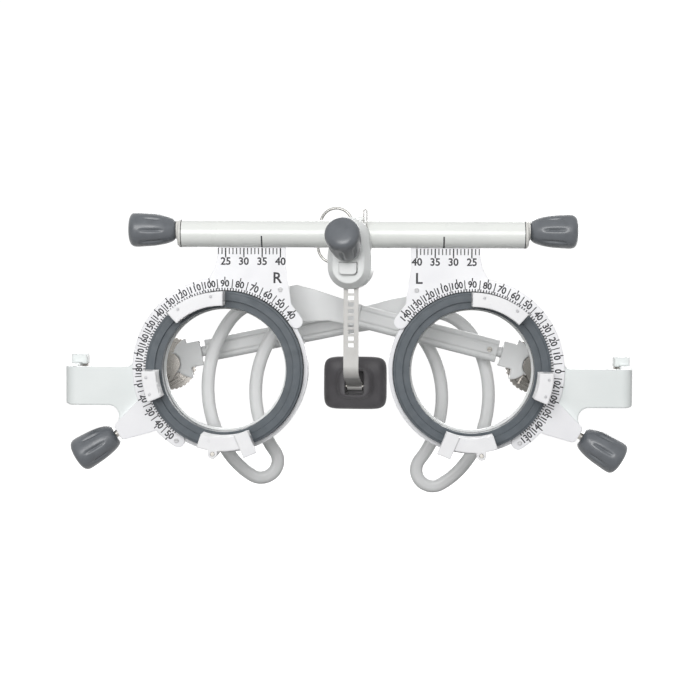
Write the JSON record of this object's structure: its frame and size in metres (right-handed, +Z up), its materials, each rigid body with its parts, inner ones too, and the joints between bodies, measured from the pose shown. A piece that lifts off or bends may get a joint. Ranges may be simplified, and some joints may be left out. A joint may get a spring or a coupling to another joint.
{
  "type": "optical trial frame",
  "caption": "Adjustable optical trial frame: lens cells on a crossbar, axis and pupil-distance knobs, sprung lens latches, a nose pad on a strap and folding temples with ear loops.",
  "frame": {"origin": "middle of the crossbar's axis, between the two pupil scales", "axes": "+X along the crossbar to the wearer's left, +Y from the front of the frame to the wearer's face, +Z up"},
  "size_m": [0.1599, 0.0547, 0.0821],
  "materials": {
    "bar_white": "satin white lacquer",
    "cap_ivory": "satin",
    "plate_white": "satin, printed scales",
    "housing_white": "satin",
    "claw_white": "satin",
    "bracket_white": "satin",
    "ring_slate": "satin",
    "knob_slate": "fine grain",
    "pad_grey": "satin",
    "strap_ivory": "satin lacquer",
    "temple_grey": "satin lacquer",
    "hinge_metal": "brushed",
    "turned_steel": "turned",
    "wire_steel": "bright drawn wire"
  },
  "bodies": {
    "frame": {"crossbar_tube": "bar_white", "end_caps": "cap_ivory", "centre_bearing": "turned_steel"},
    "cell_carrier_right": {"pd_slider_right": "turned_steel", "scale_plate_right": "plate_white", "cell_housing_right": "housing_white", "side_bracket_right": "bracket_white", "lens_spring_right": "turned_steel", "plate_screws_right": "turned_steel", "hinge_pin_right": "turned_steel"},
    "pd_drive_right": {"pd_screw_right": "turned_steel", "pd_knob_right": "knob_slate"},
    "lens_ring_right": {"lens_ring_right": "ring_slate", "upper_claw_right": "claw_white", "side_claw_right": "claw_white", "claw_screws_right": "turned_steel", "latch_pin_right": "turned_steel"},
    "latch_right": {"latch_claw_right": "claw_white"},
    "axis_drive_right": {"axis_spindle_right": "turned_steel", "axis_knob_right": "knob_slate"},
    "temple_link_right": {"fold_link_right": "hinge_metal", "tilt_ring_right": "hinge_metal"},
    "temple_block_right": {"temple_block_right": "temple_grey", "tilt_bolt_right": "hinge_metal"},
    "temple_end_right": {"temple_sleeve_right": "temple_grey", "ear_loop_right": "temple_grey", "set_screw_right": "turned_steel"},
    "cell_carrier_left": {"pd_slider_left": "turned_steel", "scale_plate_left": "plate_white", "cell_housing_left": "housing_white", "side_bracket_left": "bracket_white", "lens_spring_left": "turned_steel", "plate_screws_left": "turned_steel", "hinge_pin_left": "turned_steel"},
    "pd_drive_left": {"pd_screw_left": "turned_steel", "pd_knob_left": "knob_slate"},
    "lens_ring_left": {"lens_ring_left": "ring_slate", "upper_claw_left": "claw_white", "side_claw_left": "claw_white", "claw_screws_left": "turned_steel", "latch_pin_left": "turned_steel"},
    "latch_left": {"latch_claw_left": "claw_white"},
    "axis_drive_left": {"axis_spindle_left": "turned_steel", "axis_knob_left": "knob_slate"},
    "temple_link_left": {"fold_link_left": "hinge_metal", "tilt_ring_left": "hinge_metal"},
    "temple_block_left": {"temple_block_left": "temple_grey", "tilt_bolt_left": "hinge_metal"},
    "temple_end_left": {"temple_sleeve_left": "temple_grey", "ear_loop_left": "temple_grey", "set_screw_left": "turned_steel"},
    "bridge": {"bridge_housing": "housing_white", "bridge_collar": "housing_white", "wire_ring": "wire_steel"},
    "bridge_clamp": {"bridge_screw": "turned_steel", "bridge_knob": "knob_slate"},
    "nose_strap": {"nose_strap": "strap_ivory", "pad_pin": "turned_steel"},
    "lock_button": {"lock_button": "housing_white"},
    "nose_pad": {"nose_pad": "pad_grey"}
  },
  "joints": [
    {"name": "pd_slide_right", "type": "slide", "parent": "frame", "child": "cell_carrier_right", "axis": [-1, 0, 0], "range_m": [-0.007, 0.005]},
    {"name": "pd_knob_turn_right", "type": "hinge", "parent": "frame", "child": "pd_drive_right", "pos_m": [0, 0, 0.001], "axis": [-1, 0, 0], "range_deg": [-1260.5, 900.5]},
    {"name": "ring_turn_right", "type": "hinge", "parent": "cell_carrier_right", "child": "lens_ring_right", "pos_m": [-0.035, 0, -0.0372], "axis": [0, 1, 0], "continuous": true},
    {"name": "axis_knob_turn_right", "type": "hinge", "parent": "cell_carrier_right", "child": "axis_drive_right", "pos_m": [-0.06071, 0.0047, -0.05265], "axis": [-0.8572, 0, -0.515], "continuous": true},
    {"name": "latch_turn_right", "type": "hinge", "parent": "lens_ring_right", "child": "latch_right", "pos_m": [-0.03734, -0.008, -0.05948], "axis": [0, 1, 0], "range_deg": [0, 30], "stiffness_Nm_per_rad": 0.002, "springref_deg": -28.65},
    {"name": "temple_fold_right", "type": "hinge", "parent": "cell_carrier_right", "child": "temple_link_right", "pos_m": [-0.07895, 0.027, -0.0372], "axis": [0, 0, 1], "range_deg": [0, 98]},
    {"name": "temple_tilt_right", "type": "hinge", "parent": "temple_link_right", "child": "temple_block_right", "pos_m": [-0.05346, 0.02771, -0.0372], "axis": [0.0279, -0.9996, 0], "range_deg": [-20, 20]},
    {"name": "temple_length_right", "type": "slide", "parent": "temple_block_right", "child": "temple_end_right", "axis": [0.9795, 0.0274, 0.1994], "range_m": [0, 0.024]},
    {"name": "pd_slide_left", "type": "slide", "parent": "frame", "child": "cell_carrier_left", "axis": [1, 0, 0], "range_m": [-0.0047, 0.0073]},
    {"name": "pd_knob_turn_left", "type": "hinge", "parent": "frame", "child": "pd_drive_left", "pos_m": [0, 0, 0.001], "axis": [1, 0, 0], "range_deg": [-846.5, 1314.5]},
    {"name": "ring_turn_left", "type": "hinge", "parent": "cell_carrier_left", "child": "lens_ring_left", "pos_m": [0.0327, 0, -0.0372], "axis": [0, 1, 0], "continuous": true},
    {"name": "axis_knob_turn_left", "type": "hinge", "parent": "cell_carrier_left", "child": "axis_drive_left", "pos_m": [0.05842, 0.0047, -0.05265], "axis": [0.8572, 0, -0.515], "continuous": true},
    {"name": "latch_turn_left", "type": "hinge", "parent": "lens_ring_left", "child": "latch_left", "pos_m": [0.03504, -0.008, -0.05948], "axis": [0, -1, 0], "range_deg": [0, 30], "stiffness_Nm_per_rad": 0.002, "springref_deg": -28.65},
    {"name": "temple_fold_left", "type": "hinge", "parent": "cell_carrier_left", "child": "temple_link_left", "pos_m": [0.07665, 0.027, -0.0372], "axis": [0, 0, -1], "range_deg": [0, 104]},
    {"name": "temple_tilt_left", "type": "hinge", "parent": "temple_link_left", "child": "temple_block_left", "pos_m": [0.05126, 0.02464, -0.0372], "axis": [-0.0924, 0.9957, 0], "range_deg": [-20, 20]},
    {"name": "temple_length_left", "type": "slide", "parent": "temple_block_left", "child": "temple_end_left", "axis": [-0.9653, -0.0895, 0.2453], "range_m": [0, 0.024]},
    {"name": "bridge_tilt", "type": "hinge", "parent": "frame", "child": "bridge", "pos_m": [0, 0, 0], "axis": [1, 0, 0], "range_deg": [0, 12]},
    {"name": "bridge_knob_turn", "type": "hinge", "parent": "bridge", "child": "bridge_clamp", "pos_m": [-0.00107, -0.00873, -0.0057], "axis": [-0.1095, -0.8921, 0.4384], "range_deg": [0, 360]},
    {"name": "nose_height", "type": "slide", "parent": "bridge", "child": "nose_strap", "axis": [0, 0, 1], "range_m": [-0.00368, 0.01104]},
    {"name": "lock_press", "type": "slide", "parent": "bridge", "child": "lock_button", "axis": [0.1219, 0.9925, 0], "range_m": [0, 0.001], "stiffness_N_per_m": 200, "springref_m": -0.0005},
    {"name": "pad_tilt", "type": "hinge", "parent": "nose_strap", "child": "nose_pad", "pos_m": [0.00055, 0.00898, -0.0422], "axis": [0.9981, -0.061, 0], "range_deg": [-12, 12]}
  ],
  "couplings": [
    {"joint": "pd_knob_turn_right", "follows": "pd_slide_right", "rad_per_m": 3141.6},
    {"joint": "axis_knob_turn_right", "follows": "ring_turn_right", "ratio": 8.75},
    {"joint": "pd_knob_turn_left", "follows": "pd_slide_left", "rad_per_m": 3141.6},
    {"joint": "axis_knob_turn_left", "follows": "ring_turn_left", "ratio": 8.75}
  ]
}
